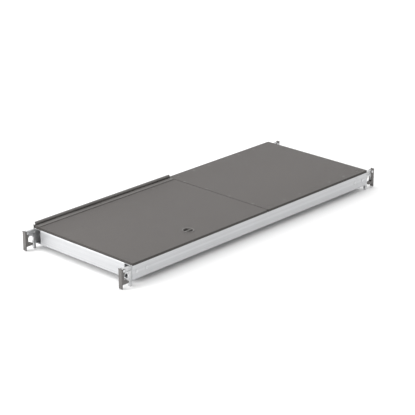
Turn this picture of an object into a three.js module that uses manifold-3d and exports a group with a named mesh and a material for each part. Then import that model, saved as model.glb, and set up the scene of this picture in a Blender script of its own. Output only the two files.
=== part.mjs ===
// A trapdoor deck for a mobile access tower: two hollow aluminium side beams joined by cross beams,
// covered with film-faced plywood, hung on the tower's rungs by four cast hooks with wind locks.
// Millimetres, +Z up. X runs along the deck, from one rung to the other, and +Y is the hinge side
// (rear). The origin is under the deck's centre, level with the hooks' feet.
import * as THREE from 'three';
import { mergeVertices } from 'three/addons/utils/BufferGeometryUtils.js';
import Module from 'manifold-3d';

const wasm = await Module();
wasm.setup();

// ---- Driving dimensions -------------------------------------------------------------------------

const BAY_LENGTH = 1690; // centre to centre of the two rungs that carry the deck
const RUNG_DIAMETER = 30;
const RUNG_DROP = 55; // deck surface down to the rungs' centre line
const DECK_WIDTH = 655;
const END_SETBACK = 30; // rung centre line back to the end of the deck
const PLY_THICKNESS = 12;
const PLY_CORNER = 4;

const BEAM_WIDTH = 50;
const BEAM_HEIGHT = 70;
const BEAM_WALL = 2.5;
const BEAM_CORNER = 3;
const BEAM_INNER_CORNER = 1;
const DECK_OVERHANG = 5.5; // plywood beyond the side beams
const DECK_RIVET_INSET = 40; // from either end of the fixed panel
const END_BEAM_WIDTH = 25;
const CROSS_BEAM_WIDTH = 40;
const CROSS_BEAM_HEIGHT = 50;

const CLEAT_LEG = 35;
const CLEAT_THICKNESS = 3;
const CLEAT_HEIGHT = 38;
const CLEAT_DROP = 10; // beam top down to the cleat

const SEAM_OFFSET = 63; // the trapdoor ends this far past the deck's middle
const SEAM_GAP = 3;

const FOOT_DROP = 25; // the hooks' feet reach this far under the beams
const HOOK_THICKNESS = 12;
const HOOK_TOP_DROP = 1; // beam top down to the hook's top
const TANG_LENGTH = 110;
const TANG_PLAY = 1;
const TANG_CORNER = 6;
const TANG_RIVET_SHARES = [0.25, 0.8]; // of the tang's length, from the end of the deck
const RUNG_CLEARANCE = 1; // throat radius beyond the rung's own
const FOOT_LEAD = 3; // chamfer that guides the rung into the throat
const LOBE_THICKNESS = 11;
const LOBE_REACH = 14; // the outer lobe ends this far under the rung's centre
const PIVOT_BOSS = 8; // boss radius round the wind lock's pin
const POCKET_DEPTH = 3;
const POCKET_MARGIN = 6; // metal left round the cast pocket

const LOCK_PIN_RADIUS = 4;
const LOCK_PIN_PLAY = 0.35;
const LOCK_PIN_HEAD = 6.5;
const LOCK_PIN_HEAD_HEIGHT = 2;
const LOCK_PIN_CROWN = 4.5; // flat middle of the pin's head
const LOCK_SIDE_PLAY = 0.4;
const LOCK_CHEEK = 3;
const LOCK_WEB = 6;
const LOCK_WEB_GAP = 1.2; // free space between the web and the hook's lobe
const LOCK_BOSS = 9;
const LOCK_TAB = 4; // the finger tab rises this far above the hook
const LOCK_TAB_FLARE = 2.4;
const LOCK_NOSE_HEIGHT = 12;
const LOCK_NOSE_CLEARANCE = 3; // rung's underside down to the nose
const LOCK_NOSE_PAST = 9; // the nose passes under the rung's centre by this much
const LOCK_TAIL_BOTTOM = 3;
const LOCK_TAIL_CORNER = 3;
const LOCK_FILLET = 3;
const LOCK_CHEEK_DROP = 21.6; // pin down to where the cheeks run straight down

const HINGE_LEAF = 2.5;
const HINGE_BARREL = 8;
const HINGE_ROD = 3.5;
const HINGE_ROD_PLAY = 0.4;
const HINGE_ROD_HEAD = 6;
const HINGE_ROD_HEAD_LENGTH = 2.4;
const HINGE_KNUCKLES = 7;
const HINGE_KNUCKLE_GAP = 1;
const HINGE_END_INSET = 3;
const HINGE_CLEARANCE = 1; // between a barrel and the other leaf's plate
const HINGE_SIDE_DROP = 25; // the fixed leaf reaches this far down the beam
const HINGE_TOP_WIDTH = 26;
const HINGE_LID_SETBACK = 2.3; // hinge axis back to the lid's rear edge
const HINGE_FASTENERS = 4;

const LATCH_INSET = 38; // front beam's inner face back to the spindle
const CUP_RADIUS = 24;
const CUP_WALL = 2;
const CUP_FLANGE = 30;
const CUP_FLANGE_HEIGHT = 1.5;
const CUP_FLOOR = 2.5;
const CUP_PROUD = 0.8; // the cup's underside below the plywood
const TURN_LENGTH = 37;
const TURN_WIDTH = 7;
const TURN_ROUND = 3;
const TURN_DISC = 9;
const TURN_DISC_HEIGHT = 2;
const TURN_TOP_DROP = 0.5; // deck surface down to the handle's top
const SPINDLE_RADIUS = 5;
const SPINDLE_SQUARE = 7;
const SPINDLE_PLAY = 0.4;
const THREAD_RADIUS = 3;
const SPACER_RADIUS = 8;
const SPACER_LENGTH = 7.7;
const CAM_THICKNESS = 4.2;
const CAM_REACH = 31;
const CAM_WIDTH = 16;
const NUT_ACROSS_FLATS = 13;
const NUT_HEIGHT = 4.2;
const THREAD_BELOW_NUT = 2.5;
const STRIKE_THICKNESS = 3;
const STRIKE_WIDTH = 50;
const STRIKE_REACH = 20;
const STRIKE_HEIGHT = 27;
const STRIKE_LIFT = 2; // free height between the cam and the strike
const STRIKE_RIVET_SPACING = 30;
const STRIKE_RIVET_SHARE = 0.65; // of the strike's height, from its top

const GAP = 0.3; // between two pieces that touch
const PAST = 1; // a cutter, or a solid joined to another, runs this far past the shared face

// ---- Places worked out from them ----------------------------------------------------------------

const RUNG_X = BAY_LENGTH / 2;
const RUNG_RADIUS = RUNG_DIAMETER / 2;
const DECK_END = RUNG_X - END_SETBACK;
const DECK_EDGE = DECK_WIDTH / 2;
const BEAM_BOTTOM = FOOT_DROP;
const BEAM_TOP = BEAM_BOTTOM + BEAM_HEIGHT;
const BEAM_OUTER = DECK_EDGE - DECK_OVERHANG;
const BEAM_INNER = BEAM_OUTER - BEAM_WIDTH;
const BEAM_MIDDLE = (BEAM_OUTER + BEAM_INNER) / 2;
const PLY_BOTTOM = BEAM_TOP + GAP;
const DECK_TOP = PLY_BOTTOM + PLY_THICKNESS;
const RUNG_Z = DECK_TOP - RUNG_DROP;

const LID_RIGHT = SEAM_OFFSET - SEAM_GAP / 2;
const PANEL_LEFT = SEAM_OFFSET + SEAM_GAP / 2;

const THROAT_RADIUS = RUNG_RADIUS + RUNG_CLEARANCE;
const HOOK_Y = BEAM_OUTER - BEAM_WALL - GAP - HOOK_THICKNESS / 2;
const HOOK_TOP = BEAM_TOP - HOOK_TOP_DROP;
const HOOK_SHOULDER = DECK_END + GAP;
const LOBE_INNER = RUNG_X + THROAT_RADIUS;
const LOBE_OUTER = LOBE_INNER + LOBE_THICKNESS;
const PIVOT_X = LOBE_OUTER - PIVOT_BOSS;
const PIVOT_Z = HOOK_TOP - PIVOT_BOSS;

const HINGE_Y = BEAM_OUTER + GAP + HINGE_LEAF - HINGE_BARREL;
const HINGE_Z = DECK_TOP + GAP + HINGE_BARREL;
const HINGE_LEFT = -DECK_END + HINGE_END_INSET;
const HINGE_RIGHT = LID_RIGHT - HINGE_END_INSET;
const LID_REAR = HINGE_Y - HINGE_LID_SETBACK;

const LATCH_X = (LID_RIGHT - DECK_END) / 2;
const LATCH_Y = LATCH_INSET - BEAM_INNER;
const CUP_BOTTOM = PLY_BOTTOM - CUP_PROUD;
const SPACER_TOP = CUP_BOTTOM - GAP;
const CAM_TOP = SPACER_TOP - SPACER_LENGTH - GAP;
const CAM_BOTTOM = CAM_TOP - CAM_THICKNESS;
const NUT_TOP = CAM_BOTTOM - GAP;

// ---- Finishes -----------------------------------------------------------------------------------

const finish = (color, roughness, metalness) =>
  new THREE.MeshStandardMaterial({ color, roughness, metalness });

const extrudedAluminium = finish(0xc4c5c7, 0.42, 0.9);
const castAluminium = finish(0xb4b5b6, 0.55, 0.85);
const filmedPlywood = finish(0x4a4643, 0.72, 0);
const coatedSteel = finish(0x4b4948, 0.5, 0.2);
const zincSteel = finish(0xa6a9ad, 0.35, 0.95);
const blackNylon = finish(0x1c1c1d, 0.6, 0);
const greyNylon = finish(0x4a4745, 0.6, 0);

// ---- Solids -------------------------------------------------------------------------------------

// A run of points along an arc, with angles in degrees.
const arc = (cx, cy, radius, from, to, steps) =>
  Array.from({ length: steps + 1 }, (_, i) => {
    const angle = THREE.MathUtils.degToRad(from + ((to - from) * i) / steps);
    return [cx + radius * Math.cos(angle), cy + radius * Math.sin(angle)];
  });

const circle = (cx, cy, radius, sides) => arc(cx, cy, radius, 0, 360, sides).slice(0, -1);

const rectangle = (x0, y0, x1, y1) => [[x0, y0], [x1, y0], [x1, y1], [x0, y1]];

const roundedRectangle = (x0, y0, x1, y1, radius, steps = 3) => [
  ...arc(x1 - radius, y0 + radius, radius, -90, 0, steps),
  ...arc(x1 - radius, y1 - radius, radius, 0, 90, steps),
  ...arc(x0 + radius, y1 - radius, radius, 90, 180, steps),
  ...arc(x0 + radius, y0 + radius, radius, 180, 270, steps),
];

// Turns a closed three.js geometry into a solid that can be cut and joined.
function solid(geometry) {
  geometry.deleteAttribute('normal');
  geometry.deleteAttribute('uv');
  const merged = mergeVertices(geometry, 1e-4);
  const index = merged.index.array;
  const kept = [];
  for (let i = 0; i < index.length; i += 3) {
    const [a, b, c] = index.slice(i, i + 3);
    if (a !== b && b !== c && a !== c) kept.push(a, b, c);
  }
  const vertProperties = merged.attributes.position.array;
  return new wasm.Manifold(
    new wasm.Mesh({ numProp: 3, vertProperties, triVerts: new Uint32Array(kept) }),
  );
}

const X = new THREE.Vector3(1, 0, 0);
const Y = new THREE.Vector3(0, 1, 0);
const Z = new THREE.Vector3(0, 0, 1);
const MINUS_Y = new THREE.Vector3(0, -1, 0);

// An outline pushed along one axis: (y, z) points along x, (x, z) points along y, (x, y) along z.
function prism(axis, outline, from, to, holes = []) {
  const points = (path) => path.map(([a, b]) => new THREE.Vector2(a, b));
  const shape = new THREE.Shape(points(outline));
  shape.holes = holes.map((hole) => new THREE.Path(points(hole)));
  const geometry = new THREE.ExtrudeGeometry(shape, { depth: to - from, bevelEnabled: false });
  const turn = new THREE.Matrix4();
  if (axis === 'x') turn.makeBasis(Y, Z, X).setPosition(from, 0, 0);
  if (axis === 'y') turn.makeBasis(X, Z, MINUS_Y).setPosition(0, to, 0);
  if (axis === 'z') turn.setPosition(0, 0, from);
  return solid(geometry.applyMatrix4(turn));
}

// A profile of (radius, height) points turned about the y axis.
function turned(profile, sides) {
  return solid(new THREE.LatheGeometry(profile.map(([r, h]) => new THREE.Vector2(r, h)), sides));
}

const joined = (first, ...others) => others.reduce((whole, next) => whole.add(next), first);
const cut = (first, ...others) => others.reduce((whole, next) => whole.subtract(next), first);

function piece(name, shape, material) {
  const { vertProperties, triVerts } = shape.getMesh();
  const geometry = new THREE.BufferGeometry();
  geometry.setAttribute('position', new THREE.BufferAttribute(vertProperties, 3));
  geometry.setIndex(new THREE.BufferAttribute(triVerts, 1));
  geometry.computeVertexNormals();
  const mesh = new THREE.Mesh(geometry, material);
  mesh.name = name;
  return mesh;
}

const ENDS = [{ name: 'left', side: -1 }, { name: 'right', side: 1 }];
const EDGES = [{ name: 'front', side: -1 }, { name: 'rear', side: 1 }];
const group = new THREE.Group();

// ---- Fasteners ----------------------------------------------------------------------------------

// A rivet or screw stands along y: its head bears on y = 0 and its shank runs down to -grip, where
// a rivet has a formed tail. Its hole is the same shank with the named play round it.
const HOOK_RIVET = { shank: 4.7, head: 8, headHeight: 2.6, tail: 7.2, tailHeight: 3, sides: 14 };
const SMALL_RIVET = { shank: 2.4, head: 5, headHeight: 1.2, tail: 3.6, tailHeight: 3, sides: 12 };
const DECK_RIVET = { shank: 2.9, head: 6.5, headHeight: 1.4, tail: 4.2, tailHeight: 4, sides: 12 };
const DECK_RIVET_SINK = 1.6; // the deck rivets' heads lie in counterbores, just under the surface
const LEAF_SCREW = { shank: 2.2, head: 4.5, headHeight: 1.6, tail: 0, tailHeight: 2, sides: 12 };
const FASTENER_PLAY = 0.3;
const SCREW_DEPTH = 7; // screw into the plywood, short of its point
const SCREW_TIP_ROOM = 3; // its hole runs on this far

function fastener(name, kind, grip, place, turn, material = zincSteel) {
  const shankEnd = -grip - 2 * GAP;
  const profile = [
    [0, kind.headHeight],
    [kind.head * 0.6, kind.headHeight * 0.85],
    [kind.head, kind.headHeight * 0.25],
    [kind.head, GAP],
    [kind.shank, GAP],
    [kind.shank, shankEnd],
  ];
  if (kind.tail) profile.push([kind.tail, shankEnd], [kind.tail * 0.7, shankEnd - kind.tailHeight]);
  profile.push([0, shankEnd - kind.tailHeight]);
  const mesh = piece(name, turned(profile.reverse(), kind.sides), material);
  mesh.position.set(...place);
  mesh.rotation.set(...turn);
  return mesh;
}

const FACING_REAR = [0, 0, 0];
const FACING_FRONT = [0, 0, Math.PI];
const FACING_UP = [Math.PI / 2, 0, 0];

// ---- Frame: side beams, end beams, cross beam, cleats --------------------------------------------

const hookRivetXs = TANG_RIVET_SHARES.map((share) => DECK_END - TANG_LENGTH * share);
const hookRivetZ = (BEAM_BOTTOM + BEAM_TOP) / 2;

const spread = (from, to, count) =>
  Array.from({ length: count }, (_, i) => from + ((to - from) * (i + 0.5)) / count);

// The hinge's fasteners keep clear of the hook's tang, which lies behind the beam's web.
const hingeFastenerXs = spread(TANG_LENGTH - DECK_END, HINGE_RIGHT, HINGE_FASTENERS);
const hingeRivetZ = BEAM_TOP - HINGE_SIDE_DROP / 2;
const strikeRivetXs = [-1, 1].map((s) => LATCH_X + (s * STRIKE_RIVET_SPACING) / 2);
const STRIKE_TOP = CAM_TOP + STRIKE_LIFT + STRIKE_THICKNESS;
const strikeRivetZ = STRIKE_TOP - STRIKE_HEIGHT * STRIKE_RIVET_SHARE;
const deckRivetXs = [
  PANEL_LEFT + DECK_RIVET_INSET,
  (PANEL_LEFT + DECK_END) / 2,
  DECK_END - DECK_RIVET_INSET,
];

const drillSides = (radius) => (radius > CUP_RADIUS / 2 ? 40 : 16);
const drill = (axis, a, b, radius, from, to) =>
  prism(axis, circle(a, b, radius, drillSides(radius)), from, to);
const drillY = (x, z, radius, from, to) => drill('y', x, z, radius, from, to);
const drillZ = (x, y, radius, from, to) => drill('z', x, y, radius, from, to);

function hollowBeam(axis, low, high, bottom, from, to) {
  const wall = BEAM_WALL;
  const outside = roundedRectangle(low, bottom, high, BEAM_TOP, BEAM_CORNER);
  const inside = roundedRectangle(
    low + wall, bottom + wall, high - wall, BEAM_TOP - wall, BEAM_INNER_CORNER, 1,
  );
  return prism(axis, outside, from, to, [inside]);
}

// Holes through one web of the beam at the given edge: its outer face, or its inner one.
function webHoles(edge, xs, z, radius, face) {
  const middle = edge * (face === 'outer' ? BEAM_OUTER : BEAM_INNER);
  const depth = BEAM_WALL * 2;
  return xs.map((x) => drillY(x, z, radius, middle - depth, middle + depth));
}

for (const { name, side } of EDGES) {
  const [low, high] = [side * BEAM_OUTER, side * BEAM_INNER].sort((a, b) => a - b);
  const beam = hollowBeam('x', low, high, BEAM_BOTTOM, -DECK_END, DECK_END);
  const hookXs = ENDS.flatMap((end) => hookRivetXs.map((x) => x * end.side));
  const hookHoles = webHoles(side, hookXs, hookRivetZ, HOOK_RIVET.shank + FASTENER_PLAY, 'outer');
  const deckHoles = deckRivetXs.map((x) =>
    drillZ(x, side * BEAM_MIDDLE, DECK_RIVET.shank + FASTENER_PLAY, BEAM_TOP - 2 * BEAM_WALL, DECK_TOP),
  );
  const ownHoles =
    side > 0
      ? webHoles(side, hingeFastenerXs, hingeRivetZ, SMALL_RIVET.shank + FASTENER_PLAY, 'outer')
      : webHoles(side, strikeRivetXs, strikeRivetZ, SMALL_RIVET.shank + FASTENER_PLAY, 'inner');
  const shape = cut(beam, ...hookHoles, ...deckHoles, ...ownHoles);
  group.add(piece(`side_beam_${name}`, shape, extrudedAluminium));
}

const crossReach = BEAM_INNER - GAP;
for (const { name, side } of ENDS) {
  const [low, high] = [side * DECK_END, side * (DECK_END - END_BEAM_WIDTH)].sort((a, b) => a - b);
  const beam = hollowBeam('y', low, high, BEAM_BOTTOM, -crossReach, crossReach);
  group.add(piece(`end_beam_${name}`, beam, extrudedAluminium));
}

const crossLow = SEAM_OFFSET - CROSS_BEAM_WIDTH / 2;
const crossHigh = SEAM_OFFSET + CROSS_BEAM_WIDTH / 2;
const crossBottom = BEAM_TOP - CROSS_BEAM_HEIGHT;
const crossBeam = hollowBeam('y', crossLow, crossHigh, crossBottom, -crossReach, crossReach);
group.add(piece('center_cross_beam', crossBeam, extrudedAluminium));

// An angle cleat with its outer corner at (x, y), opening towards the signs given.
function cleat(name, x, y, signX, signY) {
  const outline = [[0, 0], [CLEAT_LEG, 0], [CLEAT_LEG, CLEAT_THICKNESS], [CLEAT_THICKNESS, CLEAT_THICKNESS],
    [CLEAT_THICKNESS, CLEAT_LEG], [0, CLEAT_LEG]];
  const placed = outline.map(([a, b]) => [x + signX * a, y + signY * b]);
  const top = BEAM_TOP - CLEAT_DROP;
  group.add(piece(name, prism('z', placed, top - CLEAT_HEIGHT, top), extrudedAluminium));
}

for (const edge of EDGES) {
  const y = edge.side * (BEAM_INNER - GAP);
  for (const end of ENDS) {
    const x = end.side * (DECK_END - END_BEAM_WIDTH - GAP);
    cleat(`cleat_${edge.name}_${end.name}`, x, y, -end.side, -edge.side);
  }
  cleat(`cleat_${edge.name}_center`, crossHigh + GAP, y, 1, -edge.side);
}

// ---- Fixed deck panel and its rivets -------------------------------------------------------------

const deckRivetSeat = DECK_TOP - DECK_RIVET_SINK;
const panelOutline = roundedRectangle(PANEL_LEFT, -DECK_EDGE, DECK_END, DECK_EDGE, PLY_CORNER);
const fixedPanel = cut(
  prism('z', panelOutline, PLY_BOTTOM, DECK_TOP),
  ...deckRivetXs.flatMap((x) =>
    EDGES.flatMap(({ side }) => [
      drillZ(x, side * BEAM_MIDDLE, DECK_RIVET.shank + FASTENER_PLAY, PLY_BOTTOM - PAST, DECK_TOP + PAST),
      drillZ(x, side * BEAM_MIDDLE, DECK_RIVET.head + FASTENER_PLAY, deckRivetSeat, DECK_TOP + PAST),
    ]),
  ),
);
group.add(piece('deck_panel_fixed', fixedPanel, filmedPlywood));

for (const { name, side } of EDGES) {
  deckRivetXs.forEach((x, i) => {
    const grip = deckRivetSeat - BEAM_TOP + BEAM_WALL;
    const place = [x, side * BEAM_MIDDLE, deckRivetSeat];
    group.add(fastener(`deck_rivet_${name}_${i + 1}`, DECK_RIVET, grip, place, FACING_UP, coatedSteel));
  });
}

// ---- Hooks ---------------------------------------------------------------------------------------

// The hook's side view, (distance from the deck's middle, height): a tang inside the beam, a foot
// in front of the rung, an arch over it with a flat seat, and an outer lobe with the lock's boss.
function hookOutline() {
  const jaw = RUNG_X - THROAT_RADIUS;
  const lobeEnd = LOBE_THICKNESS / 2;
  const lobeBottom = RUNG_Z - LOBE_REACH + lobeEnd;
  const seatAngle = THREE.MathUtils.radToDeg(Math.asin(RUNG_RADIUS / THROAT_RADIUS));
  const tangLow = BEAM_BOTTOM + BEAM_WALL + TANG_PLAY;
  const tangHigh = BEAM_TOP - BEAM_WALL - TANG_PLAY;
  const tangStart = DECK_END - TANG_LENGTH;
  return [
    [HOOK_SHOULDER, 0],
    [jaw - FOOT_LEAD, 0],
    [jaw, 2 * FOOT_LEAD],
    ...arc(RUNG_X, RUNG_Z, THROAT_RADIUS, 180, 180 - seatAngle, 6),
    ...arc(RUNG_X, RUNG_Z, THROAT_RADIUS, seatAngle, 0, 6),
    ...arc(LOBE_INNER + lobeEnd, lobeBottom, lobeEnd, 180, 360, 8),
    ...arc(PIVOT_X, PIVOT_Z, PIVOT_BOSS, 0, 90, 6),
    [HOOK_SHOULDER, HOOK_TOP],
    [HOOK_SHOULDER, tangHigh],
    ...arc(tangStart + TANG_CORNER, tangHigh - TANG_CORNER, TANG_CORNER, 90, 180, 3),
    ...arc(tangStart + TANG_CORNER, tangLow + TANG_CORNER, TANG_CORNER, 180, 270, 3),
    [HOOK_SHOULDER, tangLow],
  ];
}

function hookShape() {
  const half = HOOK_THICKNESS / 2;
  const body = prism('y', hookOutline(), -half, half);
  const pinHole = drillY(PIVOT_X, PIVOT_Z, LOCK_PIN_RADIUS + LOCK_PIN_PLAY, -half - PAST, half + PAST);
  const rivetHoles = hookRivetXs.map((x) =>
    drillY(x, hookRivetZ, HOOK_RIVET.shank + FASTENER_PLAY, -half - PAST, half + PAST),
  );
  const pocket = roundedRectangle(
    HOOK_SHOULDER + POCKET_MARGIN,
    RUNG_Z + THROAT_RADIUS + POCKET_MARGIN,
    PIVOT_X - PIVOT_BOSS - POCKET_MARGIN / 2,
    HOOK_TOP - POCKET_MARGIN,
    POCKET_DEPTH,
  );
  const pockets = [
    prism('y', pocket, half - POCKET_DEPTH, half + PAST),
    prism('y', pocket, -half - PAST, -half + POCKET_DEPTH),
  ];
  return cut(body, pinHole, ...rivetHoles, ...pockets);
}

// The wind lock's side view, measured from its pin: a web with a finger tab above and a tail below,
// cheeks that run up to the pin, and a nose that closes the throat under the rung.
function lockOutline() {
  const webIn = LOBE_OUTER + LOCK_WEB_GAP - PIVOT_X;
  const webOut = webIn + LOCK_WEB;
  const tabTop = HOOK_TOP + LOCK_TAB - PIVOT_Z;
  const cheekIn = LOBE_INNER + LOCK_WEB_GAP - PIVOT_X;
  const noseTop = RUNG_Z - RUNG_RADIUS - LOCK_NOSE_CLEARANCE - PIVOT_Z;
  const noseRound = LOCK_NOSE_HEIGHT / 2;
  const noseTip = RUNG_X - LOCK_NOSE_PAST + noseRound - PIVOT_X;
  const tail = LOCK_TAIL_BOTTOM + LOCK_TAIL_CORNER - PIVOT_Z;
  return [
    ...arc(webOut - LOCK_TAIL_CORNER, tail, LOCK_TAIL_CORNER, 180, 360, 6),
    [webOut, LOCK_TAB],
    [webOut + LOCK_TAB_FLARE, tabTop],
    [webOut - LOCK_WEB / 2, tabTop],
    ...arc(0, 0, LOCK_BOSS, 40, 205, 10),
    [cheekIn, -LOCK_CHEEK_DROP],
    [cheekIn, noseTop + LOCK_FILLET],
    [cheekIn - LOCK_FILLET, noseTop],
    ...arc(noseTip, noseTop - noseRound, noseRound, 90, 270, 8),
    ...arc(webIn - LOCK_FILLET, noseTop - LOCK_NOSE_HEIGHT - LOCK_FILLET, LOCK_FILLET, 90, 0, 3),
  ];
}

function lockShape() {
  const half = HOOK_THICKNESS / 2 + LOCK_SIDE_PLAY + LOCK_CHEEK;
  const slotHalf = half - LOCK_CHEEK;
  const webIn = LOBE_OUTER + LOCK_WEB_GAP - PIVOT_X;
  const noseTop = RUNG_Z - RUNG_RADIUS - LOCK_NOSE_CLEARANCE - PIVOT_Z;
  const slotOutline = rectangle(-2 * LOCK_BOSS, noseTop, webIn, 2 * LOCK_BOSS);
  const slot = prism('y', slotOutline, -slotHalf, slotHalf);
  const pinHole = drillY(0, 0, LOCK_PIN_RADIUS + LOCK_PIN_PLAY, -half - PAST, half + PAST);
  return cut(prism('y', lockOutline(), -half, half), slot, pinHole);
}

function lockPinShape() {
  const bearing = HOOK_THICKNESS / 2 + LOCK_SIDE_PLAY + LOCK_CHEEK + GAP;
  const end = bearing + LOCK_PIN_HEAD_HEIGHT;
  const profile = [
    [0, -end],
    [LOCK_PIN_CROWN, -end],
    [LOCK_PIN_HEAD, -end + LOCK_PIN_HEAD_HEIGHT / 2],
    [LOCK_PIN_HEAD, -bearing],
    [LOCK_PIN_RADIUS, -bearing],
    [LOCK_PIN_RADIUS, bearing],
    [LOCK_PIN_HEAD, bearing],
    [LOCK_PIN_HEAD, end - LOCK_PIN_HEAD_HEIGHT / 2],
    [LOCK_PIN_CROWN, end],
    [0, end],
  ];
  return turned(profile, 16);
}

for (const end of ENDS) {
  for (const edge of EDGES) {
    const place = `${edge.name}_${end.name}`;
    const corner = new THREE.Group();
    corner.position.set(0, edge.side * HOOK_Y, 0);
    corner.rotation.z = end.side > 0 ? 0 : Math.PI;
    corner.add(piece(`hook_${place}`, hookShape(), castAluminium));

    const lock = new THREE.Group();
    lock.position.set(PIVOT_X, 0, PIVOT_Z);
    lock.add(piece(`wind_lock_${place}`, lockShape(), greyNylon));
    lock.add(piece(`wind_lock_pin_${place}`, lockPinShape(), zincSteel));
    corner.add(lock);
    group.add(corner);

    hookRivetXs.forEach((x, i) => {
      const grip = BEAM_WALL + GAP + HOOK_THICKNESS;
      const at = [end.side * x, edge.side * BEAM_OUTER, hookRivetZ];
      const turn = edge.side > 0 ? FACING_REAR : FACING_FRONT;
      group.add(fastener(`hook_rivet_${place}_${i + 1}`, HOOK_RIVET, grip, at, turn));
    });
  }
}

// ---- Trapdoor and its hinge ----------------------------------------------------------------------

const leafScrewY = HINGE_Y - HINGE_BARREL - HINGE_CLEARANCE - HINGE_TOP_WIDTH / 2;

const lidOutline = roundedRectangle(-DECK_END, -DECK_EDGE, LID_RIGHT, LID_REAR, PLY_CORNER);
const screwHoleEnd = DECK_TOP - SCREW_DEPTH - SCREW_TIP_ROOM;
const trapdoor = cut(
  prism('z', lidOutline, PLY_BOTTOM, DECK_TOP),
  drillZ(LATCH_X, LATCH_Y, CUP_RADIUS + GAP, PLY_BOTTOM - PAST, DECK_TOP + PAST),
  ...hingeFastenerXs.map((x) =>
    drillZ(x, leafScrewY, LEAF_SCREW.shank + FASTENER_PLAY, screwHoleEnd, DECK_TOP + 1)),
);

// The knuckles of one leaf: every other length of the barrel, starting with the first or second.
function knuckleSpans(first) {
  const pitch = (HINGE_RIGHT - HINGE_LEFT) / HINGE_KNUCKLES;
  const spans = [];
  for (let i = first; i < HINGE_KNUCKLES; i += 2) {
    const from = HINGE_LEFT + pitch * i + (i > 0 ? HINGE_KNUCKLE_GAP / 2 : 0);
    const to = HINGE_LEFT + pitch * (i + 1) - (i < HINGE_KNUCKLES - 1 ? HINGE_KNUCKLE_GAP / 2 : 0);
    spans.push([from, to]);
  }
  return spans;
}

// A leaf is a plate, knuckles, and a strip that ties each knuckle to the plate.
function hingeLeaf(plate, strip, first, holes) {
  const bore = prism(
    'x',
    circle(HINGE_Y, HINGE_Z, HINGE_ROD + HINGE_ROD_PLAY, 16),
    HINGE_LEFT - PAST,
    HINGE_RIGHT + PAST,
  );
  const knuckles = knuckleSpans(first).flatMap(([from, to]) => [
    prism('x', circle(HINGE_Y, HINGE_Z, HINGE_BARREL, 24), from, to),
    prism('x', strip, from, to),
  ]);
  return cut(joined(prism('x', plate, HINGE_LEFT, HINGE_RIGHT), ...knuckles), bore, ...holes);
}

const sideLeafIn = BEAM_OUTER + GAP;
const sideLeafOut = sideLeafIn + HINGE_LEAF;
const sideLeafLow = BEAM_TOP - HINGE_SIDE_DROP;
const sidePlateTop = HINGE_Z - HINGE_BARREL - HINGE_CLEARANCE / 2;
const fixedLeaf = hingeLeaf(
  rectangle(sideLeafIn, sideLeafLow, sideLeafOut, sidePlateTop),
  rectangle(sideLeafIn, sidePlateTop - PAST, sideLeafOut, HINGE_Z),
  0,
  webHoles(1, hingeFastenerXs, hingeRivetZ, SMALL_RIVET.shank + FASTENER_PLAY, 'outer'),
);
group.add(piece('hinge_leaf_fixed', fixedLeaf, coatedSteel));

const topLeafLow = DECK_TOP + GAP;
const topLeafHigh = topLeafLow + HINGE_LEAF;
const topPlateRear = HINGE_Y - HINGE_BARREL - HINGE_CLEARANCE;
const lidLeaf = hingeLeaf(
  rectangle(topPlateRear - HINGE_TOP_WIDTH, topLeafLow, topPlateRear, topLeafHigh),
  rectangle(topPlateRear - PAST, topLeafLow, HINGE_Y, topLeafHigh),
  1,
  hingeFastenerXs.map((x) =>
    drillZ(x, leafScrewY, LEAF_SCREW.shank + FASTENER_PLAY, topLeafLow - PAST, topLeafHigh + PAST)),
);

const rodEnd = GAP + HINGE_ROD_HEAD_LENGTH;
const rod = joined(
  prism('x', circle(HINGE_Y, HINGE_Z, HINGE_ROD, 12), HINGE_LEFT - rodEnd, HINGE_RIGHT + rodEnd),
  prism('x', circle(HINGE_Y, HINGE_Z, HINGE_ROD_HEAD, 12), HINGE_LEFT - rodEnd, HINGE_LEFT - GAP),
  prism('x', circle(HINGE_Y, HINGE_Z, HINGE_ROD_HEAD, 12), HINGE_RIGHT + GAP, HINGE_RIGHT + rodEnd),
);
group.add(piece('hinge_rod', rod, zincSteel));

hingeFastenerXs.forEach((x, i) => {
  const grip = HINGE_LEAF + GAP + BEAM_WALL;
  const at = [x, sideLeafOut, hingeRivetZ];
  group.add(fastener(`hinge_rivet_${i + 1}`, SMALL_RIVET, grip, at, FACING_REAR));
});

// Everything that lifts with the trapdoor hangs in a group on the hinge line.
const lid = new THREE.Group();
lid.position.set(0, HINGE_Y, HINGE_Z);
const onLid = new THREE.Group();
onLid.position.set(0, -HINGE_Y, -HINGE_Z);
lid.add(onLid);
group.add(lid);

onLid.add(piece('hatch_panel', trapdoor, filmedPlywood));
onLid.add(piece('hinge_leaf_lid', lidLeaf, coatedSteel));
hingeFastenerXs.forEach((x, i) => {
  const at = [x, leafScrewY, topLeafHigh];
  const grip = HINGE_LEAF + SCREW_DEPTH;
  onLid.add(fastener(`hinge_screw_${i + 1}`, LEAF_SCREW, grip, at, FACING_UP, coatedSteel));
});

// ---- Latch: cup in the lid, handle and cam that turn together, strike on the front beam ----------

function cupShape() {
  const flangeTop = DECK_TOP + GAP + CUP_FLANGE_HEIGHT;
  const inner = CUP_RADIUS - CUP_WALL;
  const floorTop = CUP_BOTTOM + CUP_FLOOR;
  const bore = SPINDLE_RADIUS + SPINDLE_PLAY;
  const profile = [
    [bore, CUP_BOTTOM],
    [CUP_RADIUS, CUP_BOTTOM],
    [CUP_RADIUS, DECK_TOP + GAP],
    [CUP_FLANGE, DECK_TOP + GAP],
    [CUP_FLANGE, flangeTop - CUP_FLANGE_HEIGHT / 2],
    [CUP_FLANGE - CUP_FLANGE_HEIGHT / 2, flangeTop],
    [inner + CUP_FLANGE_HEIGHT / 2, flangeTop],
    [inner, flangeTop - CUP_FLANGE_HEIGHT / 2],
    [inner, floorTop],
    [bore, floorTop],
    [bore, CUP_BOTTOM],
  ];
  return turned(profile, 32).rotate([90, 0, 0]);
}

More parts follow.
